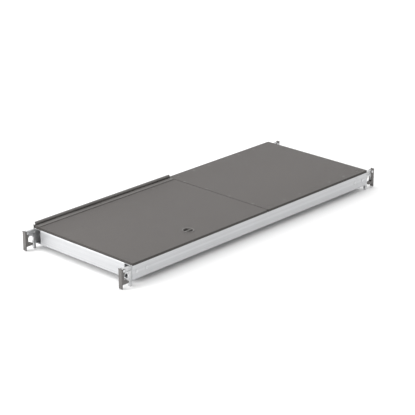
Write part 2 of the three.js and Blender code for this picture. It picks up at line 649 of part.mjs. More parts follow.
function handleShape() {
  const floorTop = CUP_BOTTOM + CUP_FLOOR + GAP;
  const discTop = floorTop + TURN_DISC_HEIGHT;
  const barTop = DECK_TOP - TURN_TOP_DROP;
  const square = SPINDLE_SQUARE / 2;
  const halfLength = TURN_LENGTH / 2;
  const halfWidth = TURN_WIDTH / 2;
  const bar = roundedRectangle(-halfLength, -halfWidth, halfLength, halfWidth, TURN_ROUND);
  const threadEnd = NUT_TOP - NUT_HEIGHT - THREAD_BELOW_NUT;
  return joined(
    prism('z', bar, discTop - PAST, barTop),
    prism('z', circle(0, 0, TURN_DISC, 20), floorTop, discTop),
    prism('z', circle(0, 0, SPINDLE_RADIUS, 16), CUP_BOTTOM - GAP, floorTop + PAST),
    prism('z', rectangle(-square, -square, square, square), CAM_BOTTOM + GAP, CUP_BOTTOM),
    prism('z', circle(0, 0, THREAD_RADIUS, 12), threadEnd, CAM_BOTTOM + PAST),
  );
}

function camShape() {
  const half = CAM_WIDTH / 2;
  const hole = SPINDLE_SQUARE / 2 + GAP;
  const outline = [...arc(CAM_REACH - half, 0, half, -90, 90, 8), ...arc(0, 0, half, 90, 270, 8)];
  return prism('z', outline, CAM_BOTTOM, CAM_TOP, [rectangle(-hole, -hole, hole, hole)]);
}

const cup = piece('latch_cup', cupShape(), greyNylon);
cup.position.set(LATCH_X, LATCH_Y, 0);
onLid.add(cup);

const latch = new THREE.Group();
latch.position.set(LATCH_X, LATCH_Y, 0);
const spacerBore = SPINDLE_SQUARE * Math.SQRT1_2 + SPINDLE_PLAY;
const spacer = prism(
  'z', circle(0, 0, SPACER_RADIUS, 20), SPACER_TOP - SPACER_LENGTH, SPACER_TOP,
  [circle(0, 0, spacerBore, 16)],
);
const nutRadius = NUT_ACROSS_FLATS / Math.sqrt(3);
const nutBore = circle(0, 0, THREAD_RADIUS + GAP, 12);
const nut = prism('z', circle(0, 0, nutRadius, 6), NUT_TOP - NUT_HEIGHT, NUT_TOP, [nutBore]);
latch.add(piece('latch_handle', handleShape(), greyNylon));
latch.add(piece('latch_spacer', spacer, blackNylon));
latch.add(piece('latch_cam', camShape(), zincSteel));
latch.add(piece('latch_nut', nut, zincSteel));
onLid.add(latch);

const strikeBack = -BEAM_INNER + GAP;
const strikeOutline = [
  [strikeBack, STRIKE_TOP - STRIKE_HEIGHT],
  [strikeBack + STRIKE_THICKNESS, STRIKE_TOP - STRIKE_HEIGHT],
  [strikeBack + STRIKE_THICKNESS, STRIKE_TOP - STRIKE_THICKNESS],
  [strikeBack + STRIKE_REACH, STRIKE_TOP - STRIKE_THICKNESS],
  [strikeBack + STRIKE_REACH, STRIKE_TOP],
  [strikeBack, STRIKE_TOP],
];
const strike = cut(
  prism('x', strikeOutline, LATCH_X - STRIKE_WIDTH / 2, LATCH_X + STRIKE_WIDTH / 2),
  ...webHoles(-1, strikeRivetXs, strikeRivetZ, SMALL_RIVET.shank + FASTENER_PLAY, 'inner'),
);
group.add(piece('latch_strike', strike, zincSteel));
strikeRivetXs.forEach((x, i) => {
  const grip = STRIKE_THICKNESS + GAP + BEAM_WALL;
  const at = [x, strikeBack + STRIKE_THICKNESS, strikeRivetZ];
  group.add(fastener(`strike_rivet_${i + 1}`, SMALL_RIVET, grip, at, FACING_REAR));
});

export default group;
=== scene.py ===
"""A scaffold plank: the trapdoor deck of a mobile access tower, finished round its CAD frame.

Metres, +Z up, X along the deck, +Y towards the trapdoor's hinge. The CAD's beams, panels, hooks,
locks and leaves keep their shape and get fine edges and real finishes. Its round pieces, such as
rivets, pins, the hinge rod and the latch cup, are replaced by smoothly turned ones.
"""

import math

import bmesh
import bpy
from mathutils import Matrix, Vector

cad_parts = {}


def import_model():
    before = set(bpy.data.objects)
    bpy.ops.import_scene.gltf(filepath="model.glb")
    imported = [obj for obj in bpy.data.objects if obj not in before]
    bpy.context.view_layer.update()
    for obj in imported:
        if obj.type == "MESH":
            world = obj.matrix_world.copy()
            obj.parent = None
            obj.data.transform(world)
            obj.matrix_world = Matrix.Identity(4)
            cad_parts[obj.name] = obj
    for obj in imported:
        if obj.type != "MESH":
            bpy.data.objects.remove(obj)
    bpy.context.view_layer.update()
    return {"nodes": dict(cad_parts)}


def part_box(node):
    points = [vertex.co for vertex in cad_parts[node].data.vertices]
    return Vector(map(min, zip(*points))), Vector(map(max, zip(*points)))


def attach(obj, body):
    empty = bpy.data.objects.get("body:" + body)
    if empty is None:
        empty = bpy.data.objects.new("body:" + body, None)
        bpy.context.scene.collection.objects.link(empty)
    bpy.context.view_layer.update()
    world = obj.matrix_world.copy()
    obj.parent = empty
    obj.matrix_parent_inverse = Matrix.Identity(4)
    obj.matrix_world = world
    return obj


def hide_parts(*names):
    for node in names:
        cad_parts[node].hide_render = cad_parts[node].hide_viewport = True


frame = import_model()

MM = 0.001
UP = Vector((0, 0, 1))

ENDS = {"left": -1, "right": 1}
EDGES = {"front": -1, "rear": 1}
CORNERS = [f"{edge}_{end}" for end in ENDS for edge in EDGES]


# ---- Materials -----------------------------------------------------------------------------------

# Base colours, linear RGB
MILL_DARK, MILL_PALE = (0.51, 0.515, 0.525), (0.57, 0.575, 0.585)
MILL_CLOUDED = (0.46, 0.465, 0.47)
MILL_SCUFFED = (0.38, 0.38, 0.385)
MILL_SCORED = (0.33, 0.335, 0.34)
RUBBED = (0.78, 0.785, 0.79)
RUBBED_NICK = (0.5, 0.5, 0.505)
CAST_DARK, CAST_PALE = (0.50, 0.505, 0.51), (0.60, 0.605, 0.61)
CAST_PIT = (0.3, 0.3, 0.305)
FILM = (0.096, 0.088, 0.0835)
FILM_WORN = (0.131, 0.121, 0.114)
# painted shade: the darker tone laid into the low cells between the raised mesh ridges
FILM_CELL_SHADE = (0.036, 0.032, 0.03)
FILM_DUST = (0.2, 0.188, 0.175)
FILM_SCRATCH = (0.22, 0.2, 0.18)
UNDERSIDE_DARK, UNDERSIDE_PALE = (0.03, 0.026, 0.023), (0.046, 0.039, 0.033)
PLY_DARK, PLY_PALE = (0.017, 0.015, 0.0135), (0.038, 0.032, 0.028)
PLY_RUBBED = (0.075, 0.058, 0.044)
ARRIS_SEALED = (0.03, 0.026, 0.024)
WOOD_DARK, WOOD_PALE = (0.13, 0.09, 0.055), (0.2, 0.145, 0.095)
COAT = (0.094, 0.088, 0.084)
COAT_DUSTY = (0.12, 0.114, 0.109)
COAT_RUBBED = (0.17, 0.165, 0.16)
COAT_THROUGH = (0.3, 0.3, 0.31)
ZINC_PALE, ZINC_DARK = (0.7, 0.71, 0.72), (0.5, 0.505, 0.51)
BLACK_NYLON, BLACK_NYLON_SCUFFED = (0.04, 0.04, 0.042), (0.13, 0.13, 0.13)
GREY_NYLON, GREY_NYLON_SCUFFED = (0.11, 0.104, 0.1), (0.2, 0.195, 0.19)
FLOOR_DARK, FLOOR_PALE = (0.86, 0.86, 0.86), (0.88, 0.88, 0.88)

WIRE_PITCH = 5.8 * MM  # of the wire mesh pressed into the anti-slip film
PLY_PITCH = 2.6 * MM  # of the pairs of plies in a panel's edge

MIX_COLOR_A, MIX_COLOR_B, MIX_COLOR_RESULT = 6, 7, 2  # the colour sockets of a Mix node


class Finish:
    """A procedural material, in the piece's own coordinates, which at rest are the deck's.

    A noise's scale counts its waves per metre, and a bump's distance is in metres. The colour and
    roughness that a finish starts with only hold where no node drives them.
    """

    def __init__(self, name, color, roughness, metallic=0.0):
        self.material = bpy.data.materials.new(name)
        self.material.use_nodes = True
        self.tree = self.material.node_tree
        self.shader = self.tree.nodes["Principled BSDF"]
        self.shader.inputs["Base Color"].default_value = (*color, 1)
        self.shader.inputs["Roughness"].default_value = roughness
        self.shader.inputs["Metallic"].default_value = metallic
        self.coords = self.node("ShaderNodeTexCoord").outputs["Object"]
        self.normal = None

    def node(self, kind, **inputs):
        made = self.tree.nodes.new(kind)
        for key, value in inputs.items():
            self.feed(made.inputs[key.replace("_", " ")], value)
        return made

    def feed(self, socket, value):
        if isinstance(value, bpy.types.NodeSocket):
            self.tree.links.new(value, socket)
        else:
            socket.default_value = value

    def stretched(self, scale, turn=(0, 0, 0)):
        """Coordinates scaled along each axis: a pattern runs long where the scale is small."""
        mapping = self.node("ShaderNodeMapping", Vector=self.coords, Scale=scale, Rotation=turn)
        return mapping.outputs["Vector"]

    def noise(self, scale, detail=3.0, roughness=0.55, vector=None):
        made = self.node("ShaderNodeTexNoise", Scale=scale, Detail=detail, Roughness=roughness)
        self.feed(made.inputs["Vector"], vector or self.coords)
        return made.outputs["Fac"]

    def span(self, value, low, high, to_low=0.0, to_high=1.0):
        """Maps low..high onto to_low..to_high, and holds it there."""
        ends = {"From_Min": low, "From_Max": high, "To_Min": to_low, "To_Max": to_high}
        return self.node("ShaderNodeMapRange", Value=value, **ends).outputs["Result"]

    def math(self, operation, first, second=0.0):
        made = self.node("ShaderNodeMath")
        made.operation = operation
        self.feed(made.inputs[0], first)
        self.feed(made.inputs[1], second)
        return made.outputs["Value"]

    def mix(self, factor, first, second):
        made = self.node("ShaderNodeMix")
        made.data_type = "RGBA"
        self.feed(made.inputs["Factor"], factor)
        for index, value in ((MIX_COLOR_A, first), (MIX_COLOR_B, second)):
            color = value if isinstance(value, bpy.types.NodeSocket) else (*value, 1)
            self.feed(made.inputs[index], color)
        return made.outputs[MIX_COLOR_RESULT]

    def axis(self, name):
        return self.node("ShaderNodeSeparateXYZ", Vector=self.coords).outputs[name]

    def facing(self, name):
        """The part of the surface's normal along one of the piece's own axes."""
        normal = self.node("ShaderNodeTexCoord").outputs["Normal"]
        return self.node("ShaderNodeSeparateXYZ", Vector=normal).outputs[name]

    def bump(self, height, distance, strength=1.0):
        made = self.node("ShaderNodeBump", Height=height, Strength=strength, Distance=distance)
        if self.normal:
            self.feed(made.inputs["Normal"], self.normal)
        self.normal = made.outputs["Normal"]
        self.feed(self.shader.inputs["Normal"], self.normal)

    def color(self, value):
        self.feed(self.shader.inputs["Base Color"], value)

    def roughness(self, value):
        self.feed(self.shader.inputs["Roughness"], value)


def extruded_aluminium(name, along):
    """Mill finish: fine die lines along the beam, a few deeper ones, faint handling marks."""
    m = Finish(name, (0.56, 0.565, 0.57), 0.4, 0.9)

    def lines(across, lengthwise, detail):
        scale = tuple(lengthwise if axis == along else across for axis in "XYZ")
        return m.noise(1, detail, 0.6, m.stretched(scale))

    fine = lines(900, 1.2, 2)
    broad = lines(120, 0.5, 3)
    scored = m.span(lines(420, 0.8, 2), 0.68, 0.74)
    cloud = m.noise(5, 4, 0.6)
    scuff = m.span(m.noise(55, 6, 0.75, m.stretched((0.5, 1.3, 1.0), (0.3, 0.2, 0.5))), 0.62, 0.72)
    base = m.mix(m.span(broad, 0.35, 0.65), MILL_DARK, MILL_PALE)
    base = m.mix(m.span(cloud, 0.35, 0.75, 0, 0.35), base, MILL_CLOUDED)
    base = m.mix(m.math("MULTIPLY", scuff, 0.35), base, MILL_SCUFFED)
    base = m.mix(m.math("MULTIPLY", scored, 0.4), base, MILL_SCORED)
    m.color(base)
    grain = m.span(fine, 0.3, 0.7, 0.34, 0.48)
    m.roughness(m.math("ADD", grain, m.math("MULTIPLY", scuff, 0.12)))
    m.bump(fine, 0.2 * MM, 0.7)
    m.bump(broad, 0.3 * MM, 0.35)
    m.bump(m.math("SUBTRACT", 1.0, scored), 0.2 * MM, 0.5)
    return m.material


def bare_edge():
    """The rubbed edge of an aluminium piece: brighter and smoother, with small nicks."""
    m = Finish("aluminium_rubbed_edge", RUBBED, 0.3, 0.95)
    nick = m.span(m.noise(420, 4, 0.7), 0.55, 0.68)
    m.color(m.mix(nick, RUBBED, RUBBED_NICK))
    m.bump(m.noise(600, 3), 0.2 * MM, 0.4)
    return m.material


def cast_aluminium():
    """Sand-cast and lightly blasted: a pebbled skin with darker pits and soft lumps."""
    m = Finish("cast_aluminium", (0.55, 0.555, 0.56), 0.5, 0.85)
    grain = m.noise(1100, 3, 0.6)
    lump = m.noise(90, 2, 0.5)
    pit = m.span(m.noise(520, 4, 0.7), 0.6, 0.7)
    base = m.mix(m.span(lump, 0.35, 0.65), CAST_DARK, CAST_PALE)
    m.color(m.mix(m.math("MULTIPLY", pit, 0.6), base, CAST_PIT))
    m.roughness(m.span(grain, 0.3, 0.7, 0.42, 0.6))
    m.bump(grain, 0.4 * MM, 0.55)
    m.bump(lump, 1.2 * MM, 0.3)
    return m.material


def filmed_plywood():
    """Phenolic film with a pressed wire-mesh pattern on top, plain below, over sealed ply edges."""
    m = Finish("filmed_plywood", FILM, 0.62)
    waves = 2 * math.pi / WIRE_PITCH
    diagonal = m.stretched((waves, waves, 1), (0, 0, math.radians(45)))
    split = m.node("ShaderNodeSeparateXYZ", Vector=diagonal).outputs
    one = m.math("ABSOLUTE", m.math("SINE", split["X"]))
    two = m.math("ABSOLUTE", m.math("SINE", split["Y"]))
    wires = m.math("MINIMUM", one, two)
    mesh = m.span(wires, 0.12, 0.5)
    top = m.span(m.facing("Z"), 0.7, 0.9)
    flat = m.span(m.math("ABSOLUTE", m.facing("Z")), 0.5, 0.8)

    cloud = m.noise(3.2, 5, 0.6)
    dust = m.span(m.noise(26, 6, 0.7), 0.5, 0.78, 0, 0.4)
    trail = m.span(m.math("ABSOLUTE", m.axis("Y")), 0.08, 0.3, 1, 0)
    scratch_one = m.span(m.noise(1, 2, 0.5, m.stretched((6, 800, 1), (0, 0, 0.35))), 0.69, 0.74)
    scratch_two = m.span(m.noise(1, 2, 0.5, m.stretched((7, 700, 1), (0, 0, -0.9))), 0.70, 0.75)
    scratch = m.math("MAXIMUM", scratch_one, scratch_two)
    wear = m.math("MULTIPLY", m.span(cloud, 0.4, 0.7), m.span(trail, 0, 1, 0.35, 1))

    film = m.mix(m.math("MULTIPLY", wear, 0.5), FILM, FILM_WORN)
    # painted shade: the low cells between the raised ridges of the mesh are darkened, where the
    # relief below sits low
    film = m.mix(m.math("MULTIPLY", mesh, 0.36), film, FILM_CELL_SHADE)
    film = m.mix(m.math("MULTIPLY", dust, 0.3), film, FILM_DUST)
    film = m.mix(m.math("MULTIPLY", scratch, 0.3), film, FILM_SCRATCH)
    under = m.mix(m.span(cloud, 0.35, 0.7), UNDERSIDE_DARK, UNDERSIDE_PALE)
    film = m.mix(top, under, film)

    plies = m.math("SINE", m.math("MULTIPLY", m.axis("Z"), 2 * math.pi / PLY_PITCH))
    edge = m.mix(m.span(plies, -0.3, 0.3), PLY_DARK, PLY_PALE)
    edge = m.mix(m.span(m.noise(140, 5, 0.7), 0.6, 0.75, 0, 0.4), edge, PLY_RUBBED)
    m.color(m.mix(flat, edge, film))
    m.roughness(m.math("ADD", m.span(cloud, 0.3, 0.7, 0.52, 0.64), m.math("MULTIPLY", dust, 0.2)))
    relief = m.math("MULTIPLY", m.math("SUBTRACT", 1.0, mesh), top)
    m.bump(relief, 0.6 * MM, 0.8)
    m.bump(m.noise(700, 3), 0.1 * MM, 0.4)
    return m.material


def ply_edge():
    """The rubbed arris of a panel, where the film has worn through in places to the wood."""
    m = Finish("ply_worn_arris", FILM, 0.7)
    worn = m.span(m.noise(85, 6, 0.75), 0.6, 0.7)
    wood = m.mix(m.noise(300, 3), WOOD_DARK, WOOD_PALE)
    m.color(m.mix(m.math("MULTIPLY", worn, 0.5), ARRIS_SEALED, wood))
    return m.material


def powder_coat():
    """Dark grey-brown powder coat with orange peel, dusted and rubbed pale in places."""
    m = Finish("grey_powder_coat", COAT, 0.45)
    rub = m.span(m.noise(60, 6, 0.75), 0.6, 0.74)
    tone = m.mix(m.span(m.noise(9, 4, 0.6), 0.35, 0.7), COAT, COAT_DUSTY)
    m.color(m.mix(m.math("MULTIPLY", rub, 0.35), tone, COAT_RUBBED))
    m.roughness(m.span(rub, 0, 1, 0.42, 0.6))
    m.bump(m.noise(700, 2, 0.4), 0.3 * MM, 0.35)
    return m.material


def powder_edge():
    """A coated edge worn to grey steel in short stretches."""
    m = Finish("powder_coat_worn_edge", COAT, 0.4, 0.3)
    worn = m.span(m.noise(120, 5, 0.7), 0.57, 0.67)
    m.color(m.mix(worn, COAT, COAT_THROUGH))
    return m.material


def zinc_steel():
    """Bright zinc plate, slightly clouded."""
    m = Finish("zinc_steel", (0.66, 0.67, 0.68), 0.32, 1.0)
    cloud = m.noise(240, 4, 0.6)
    m.color(m.mix(m.span(cloud, 0.35, 0.7), ZINC_PALE, ZINC_DARK))
    m.roughness(m.span(cloud, 0.3, 0.7, 0.26, 0.42))
    m.bump(m.noise(1500, 2), 0.1 * MM, 0.4)
    return m.material


def moulded_nylon(name, tone, scuffed):
    """Glass-filled nylon with a fine spark-eroded skin and pale scuffs."""
    m = Finish(name, tone, 0.52)
    scuff = m.span(m.noise(130, 6, 0.8), 0.58, 0.7)
    m.color(m.mix(m.math("MULTIPLY", scuff, 0.35), tone, scuffed))
    m.roughness(m.span(m.noise(900, 3), 0.3, 0.7, 0.46, 0.62))
    m.bump(m.noise(1800, 2, 0.5), 0.15 * MM, 0.5)
    return m.material


aluminium_x = extruded_aluminium("extruded_aluminium_x", "X")
aluminium_y = extruded_aluminium("extruded_aluminium_y", "Y")
aluminium_z = extruded_aluminium("extruded_aluminium_z", "Z")
aluminium_edge = bare_edge()
casting = cast_aluminium()
plywood = filmed_plywood()
plywood_edge = ply_edge()
coat = powder_coat()
coat_edge = powder_edge()
zinc = zinc_steel()
black_nylon = moulded_nylon("black_nylon", BLACK_NYLON, BLACK_NYLON_SCUFFED)
grey_nylon = moulded_nylon("grey_nylon", GREY_NYLON, GREY_NYLON_SCUFFED)


# ---- CAD pieces that stay: fine edges and a finish -----------------------------------------------

WELD_DISTANCE = 0.01 * MM
SAME_PLANE = math.radians(0.5)  # facets that turn less than this are joined into one face
SHARP_EDGE = math.radians(32)  # edges that turn more than this are rounded


def dress(node, finish, edge_finish, bevel, segments=2):
    """Gives a CAD node its finish, and rounds its sharp edges in the finish of a worn edge."""
    obj = frame["nodes"][node]
    mesh = obj.data
    if not mesh.materials:
        mesh.materials.append(finish)
    mesh.materials[0] = finish
    mesh.materials.append(edge_finish)
    for polygon in mesh.polygons:
        polygon.use_smooth = True
    weld = obj.modifiers.new("weld", "WELD")
    weld.merge_threshold = WELD_DISTANCE
    flat = obj.modifiers.new("flat", "DECIMATE")
    flat.decimate_type = "DISSOLVE"
    flat.angle_limit = SAME_PLANE
    rounding = obj.modifiers.new("rounding", "BEVEL")
    rounding.width = bevel
    rounding.segments = segments
    rounding.limit_method = "ANGLE"
    rounding.angle_limit = SHARP_EDGE
    rounding.material = 1
    rounding.harden_normals = True
    shade = obj.modifiers.new("shade", "WEIGHTED_NORMAL")
    shade.keep_sharp = True


for edge in EDGES:
    dress(f"side_beam_{edge}", aluminium_x, aluminium_edge, 0.5 * MM)
    for place in [*ENDS, "center"]:
        dress(f"cleat_{edge}_{place}", aluminium_z, aluminium_edge, 0.5 * MM)
for end in ENDS:
    dress(f"end_beam_{end}", aluminium_y, aluminium_edge, 0.5 * MM)
dress("center_cross_beam", aluminium_y, aluminium_edge, 0.5 * MM)
dress("deck_panel_fixed", plywood, plywood_edge, 0.9 * MM, 3)
dress("hatch_panel", plywood, plywood_edge, 0.9 * MM, 3)
for corner in CORNERS:
    dress(f"hook_{corner}", casting, aluminium_edge, 0.9 * MM, 3)
    dress(f"wind_lock_{corner}", grey_nylon, grey_nylon, 0.7 * MM, 3)
dress("hinge_leaf_fixed", coat, coat_edge, 0.4 * MM)
dress("hinge_leaf_lid", coat, coat_edge, 0.4 * MM)
dress("latch_handle", grey_nylon, grey_nylon, 0.6 * MM, 3)
dress("latch_spacer", black_nylon, black_nylon, 0.4 * MM)
for node in ("latch_cam", "latch_nut", "latch_strike"):
    dress(node, zinc, zinc, 0.4 * MM)


# ---- Turned pieces -------------------------------------------------------------------------------

ON_AXIS = 1e-7  # a smaller radius is one point on the axis
ROUNDING_SHARE = 0.45  # of a side's length, the most that the rounding of one corner takes
SMOOTH_SHADED = math.radians(40)


def fillet(points, radius, steps=3):
    """The same polyline with each inner corner rounded by up to radius."""
    out = [Vector(points[0])]
    for before, corner, after in zip(points, points[1:], points[2:]):
        corner = Vector(corner)
        back, ahead = Vector(before) - corner, Vector(after) - corner
        reach = min(radius, back.length * ROUNDING_SHARE, ahead.length * ROUNDING_SHARE)
        start, end = corner + back.normalized() * reach, corner + ahead.normalized() * reach
        for i in range(steps + 1):
            t = i / steps
            out.append(start * (1 - t) ** 2 + corner * 2 * t * (1 - t) + end * t**2)
    out.append(Vector(points[-1]))
    return out


def add_turned(bm, profile, centre, axis, segments=40):
    """Turns a profile of (radius, height) about axis, with height 0 at centre."""
    place = Matrix.Translation(centre) @ UP.rotation_difference(axis).to_matrix().to_4x4()
    turns = [2 * math.pi * i / segments for i in range(segments)]
    rings = []
    for radius, height in profile:
        if radius < ON_AXIS:
            points = [(0, 0, height)]
        else:
            points = [(radius * math.cos(a), radius * math.sin(a), height) for a in turns]
        rings.append([bm.verts.new(place @ Vector(point)) for point in points])
    for low, high in zip(rings, rings[1:]):
        for i in range(segments):
            j = (i + 1) % segments
            around = [(low, i), (low, j), (high, j), (high, i)]
            corners = [ring[at % len(ring)] for ring, at in around]
            bm.faces.new(list(dict.fromkeys(corners)))


def piece(name, bm, finish, body, nodes=()):
    """Makes a piece of the built mesh, shades it smooth and ties it to its CAD body."""
    bmesh.ops.recalc_face_normals(bm, faces=bm.faces)
    mesh = bpy.data.meshes.new(name)
    bm.to_mesh(mesh)
    bm.free()
    for polygon in mesh.polygons:
        polygon.use_smooth = True
    mesh.set_sharp_from_angle(angle=SMOOTH_SHADED)
    mesh.materials.append(finish)
    obj = bpy.data.objects.new(name, mesh)
    bpy.context.scene.collection.objects.link(obj)
    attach(obj, body)
    if nodes:
        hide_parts(*nodes)


def rivet_profile(kind, grip, tail=True):
    """A blind rivet from its formed tail up to its domed head, with the hole of its mandrel.

    Height 0 is the underside of the head.
    """
    shank, head, height = kind["shank"], kind["head"], kind["height"]
    low = -grip
    swell = [
        (0, low - 2.2 * MM),
        (shank * 1.15, low - 2.0 * MM),
        (shank * 1.45, low - 1.0 * MM),
        (shank, low),
    ]
    plain = [(0, low), (shank, low)]
    bore = head * 0.22
    dome = [
        (shank, 0),
        (head, 0),
        (head, height * 0.3),
        (head * 0.9, height * 0.68),
        (head * 0.62, height * 0.94),
        (bore * 1.25, height),
        (bore, height * 0.92),
        (bore, height * 0.45),
        (0, height * 0.4),
    ]
    return fillet((swell if tail else plain) + dome, 0.5 * MM)


def spread(low, high, count):
    """The middles of count equal lengths between low and high."""
    return [low + (high - low) * (i + 0.5) / count for i in range(count)]


# Radius of the shank and of the head, and height of the head
HOOK_RIVET = {"shank": 4.7 * MM, "head": 8 * MM, "height": 2.3 * MM}
DECK_RIVET = {"shank": 2.9 * MM, "head": 6.5 * MM, "height": 1.1 * MM}
FLUSH_RIVET = {"shank": 2.9 * MM, "head": 6.5 * MM, "height": 0.4 * MM}
SMALL_RIVET = {"shank": 2.4 * MM, "head": 5 * MM, "height": 1.4 * MM}

# From the underside of a rivet's head to the near side of its tail, or to its end without one
HOOK_GRIP = 15.1 * MM
DECK_GRIP = 13.8 * MM
STRIKE_GRIP = 6.4 * MM
HINGE_GRIP = 6 * MM
CLEAT_GRIP = 2 * MM
INNER_GRIP = 8 * MM

LOCK_PIN = {"shank": 4 * MM, "height": 2 * MM, "dish": 0.5 * MM}
ROD = {"shank": 3.5 * MM, "head": 6 * MM, "height": 2.4 * MM}
SCREW = {"shank": 2.2 * MM, "head": 4.5 * MM, "height": 1.6 * MM, "tip": 2.5 * MM}
SCREW_HEAD_SEAT = 0.3 * MM  # the widest part of the head, and the recess's floor, above the leaf
RECESS_ARM, RECESS_HALF_WIDTH = 1.9 * MM, 0.45 * MM
RECESS_DRAFT = 0.7  # the floor's size as a share of the opening's

CUP_OUTER, CUP_INNER, CUP_BORE = 24 * MM, 22 * MM, 5.4 * MM  # radii
CUP_FLOOR = 2.5 * MM
CUP_CHAMFER, FLANGE_CHAMFER, MOUTH_CHAMFER = 1 * MM, 0.7 * MM, 1.2 * MM
SPINDLE_SEAT_WIDTH, SPINDLE_SEAT_DEPTH = 5.2 * MM, 0.4 * MM
FLANGE_PLAY = 0.3 * MM  # under the cup's flange

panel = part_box("deck_panel_fixed")
deck_top = panel[1].z


def middle(node):
    low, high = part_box(node)
    return (low + high) / 2


def replace_rivet(node, kind, axis, grip, finish=zinc):
    """A smooth rivet in place of a CAD one whose head's top is its furthest point along axis."""
    low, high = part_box(node)
    centre = (low + high) / 2
    axis = Vector(axis)
    half = abs((high - low).dot(axis)) / 2
    base = centre + axis * (half - kind["height"])
    bm = bmesh.new()
    add_turned(bm, rivet_profile(kind, grip), base, axis)
    piece(f"{node}_domed", bm, finish, "frame", [node])


for corner in CORNERS:
    side = EDGES[corner.split("_")[0]]
    for i in (1, 2):
        replace_rivet(f"hook_rivet_{corner}_{i}", HOOK_RIVET, (0, side, 0), HOOK_GRIP)
for edge in EDGES:
    for i in (1, 2, 3):
        replace_rivet(f"deck_rivet_{edge}_{i}", DECK_RIVET, UP, DECK_GRIP, coat)
for i in (1, 2):
    replace_rivet(f"strike_rivet_{i}", SMALL_RIVET, (0, 1, 0), STRIKE_GRIP)
for i in (1, 2, 3, 4):
    replace_rivet(f"hinge_rivet_{i}", SMALL_RIVET, (0, 1, 0), HINGE_GRIP)


def both_ends(end):
    """A profile with the same end at its bottom and its top, given from the axis inwards."""
    return [(radius, -height) for radius, height in end] + end[::-1]


def lock_pins():
    """The wind locks' pins: smooth shanks with peened, slightly dished heads."""
    for corner in CORNERS:
        node = f"wind_lock_pin_{corner}"
        low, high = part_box(node)
        half, head = (high.y - low.y) / 2, (high.x - low.x) / 2
        under_head = half - LOCK_PIN["height"]
        end = [
            (0, half - LOCK_PIN["dish"]),
            (head * 0.35, half - LOCK_PIN["dish"] * 0.9),
            (head * 0.55, half),
            (head * 0.8, half),
            (head, half - LOCK_PIN["height"] * 0.5),
            (head, under_head),
            (LOCK_PIN["shank"], under_head),
        ]
        bm = bmesh.new()
        profile = fillet(both_ends(end), 0.4 * MM)
        add_turned(bm, profile, middle(node), Vector((0, 1, 0)))
        piece(f"{node}_peened", bm, zinc, "frame", [node])


def hinge_rod():
    """The long hinge rod with a rivet head at each end."""
    low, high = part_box("hinge_rod")
    half = (high.x - low.x) / 2
    head, under_head = ROD["head"], half - ROD["height"]
    end = [
        (0, half),
        (head * 0.6, half),
        (head, half - ROD["height"] * 0.6),
        (head, under_head),
        (ROD["shank"], under_head),
    ]
    bm = bmesh.new()
    profile = fillet(both_ends(end), 0.5 * MM)
    add_turned(bm, profile, middle("hinge_rod"), Vector((1, 0, 0)))
    piece("hinge_rod_headed", bm, zinc, "frame", ["hinge_rod"])


def leaf_screws():
    """Pan-head screws in the lid's leaf, each with a cross recess in its head."""
    shank, head, height = SCREW["shank"], SCREW["head"], SCREW["height"]
    for i in (1, 2, 3, 4):
        node = f"hinge_screw_{i}"
        low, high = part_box(node)
        leaf_top = high.z - height
        seat = Vector((middle(node).x, middle(node).y, leaf_top))
        tip = low.z - leaf_top
        profile = [
            (0, tip),
            (shank, tip + SCREW["tip"]),
            (shank, 0),
            (head, SCREW_HEAD_SEAT),
            (head, height * 0.5),
            (head * 0.82, height * 0.88),
            (head * 0.5, height),
        ]
        bm = bmesh.new()
        add_turned(bm, fillet(profile, 0.3 * MM), seat, UP)
        bm.edges.ensure_lookup_table()
        rim = [edge for edge in bm.edges if edge.is_boundary]
        cross_recess(bm, rim, seat + UP * height, leaf_top + SCREW_HEAD_SEAT)
        piece(f"{node}_cross_head", bm, coat, "hatch", [node])


def cross_recess(bm, rim, centre, floor):
    """Closes a round rim with a face that holds a four-armed recess."""
    arm, half = RECESS_ARM, RECESS_HALF_WIDTH
    corners = [(arm, -half), (arm, half), (half, half), (half, arm), (-half, arm), (-half, half)]
    corners += [(-x, -y) for x, y in corners]
    upper = [bm.verts.new((centre.x + x, centre.y + y, centre.z)) for x, y in corners]
    lower = [
        bm.verts.new((centre.x + RECESS_DRAFT * x, centre.y + RECESS_DRAFT * y, floor))
        for x, y in corners
    ]
    inner = []
    for i in range(len(corners)):
        j = (i + 1) % len(corners)
        bm.faces.new([upper[i], upper[j], lower[j], lower[i]])
        inner.append(bm.edges.get([upper[i], upper[j]]))
    bm.faces.new(lower)
    bmesh.ops.triangle_fill(bm, use_beauty=True, use_dissolve=False, edges=rim + inner)


def latch_cup():
    """The latch's round cup, with a flange on the lid and a shallow seat round the spindle."""
    low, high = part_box("latch_cup")
    centre = middle("latch_cup")
    flange = (high.x - low.x) / 2
    top = high.z - low.z
    under_flange = deck_top + FLANGE_PLAY - low.z
    seat, seat_floor = CUP_BORE + SPINDLE_SEAT_WIDTH, CUP_FLOOR - SPINDLE_SEAT_DEPTH
    profile = [
        (CUP_BORE, 0),
        (CUP_OUTER - CUP_CHAMFER, 0),
        (CUP_OUTER, CUP_CHAMFER),
        (CUP_OUTER, under_flange),
        (flange, under_flange),
        (flange, top - FLANGE_CHAMFER),
        (flange - MOUTH_CHAMFER, top),
        (CUP_INNER + MOUTH_CHAMFER, top),
        (CUP_INNER, top - MOUTH_CHAMFER),
        (CUP_INNER, CUP_FLOOR),
        (seat, CUP_FLOOR),
        (seat, seat_floor),
        (CUP_BORE, seat_floor),
        (CUP_BORE, 0),
    ]
    bm = bmesh.new()
    base = Vector((centre.x, centre.y, low.z))
    add_turned(bm, fillet(profile, 0.6 * MM), base, UP, segments=80)
    bmesh.ops.remove_doubles(bm, verts=bm.verts, dist=ON_AXIS)
    piece("latch_cup_moulded", bm, grey_nylon, "hatch", ["latch_cup"])


lock_pins()
hinge_rod()
leaf_screws()
latch_cup()


# ---- Pieces that only the looks need -------------------------------------------------------------

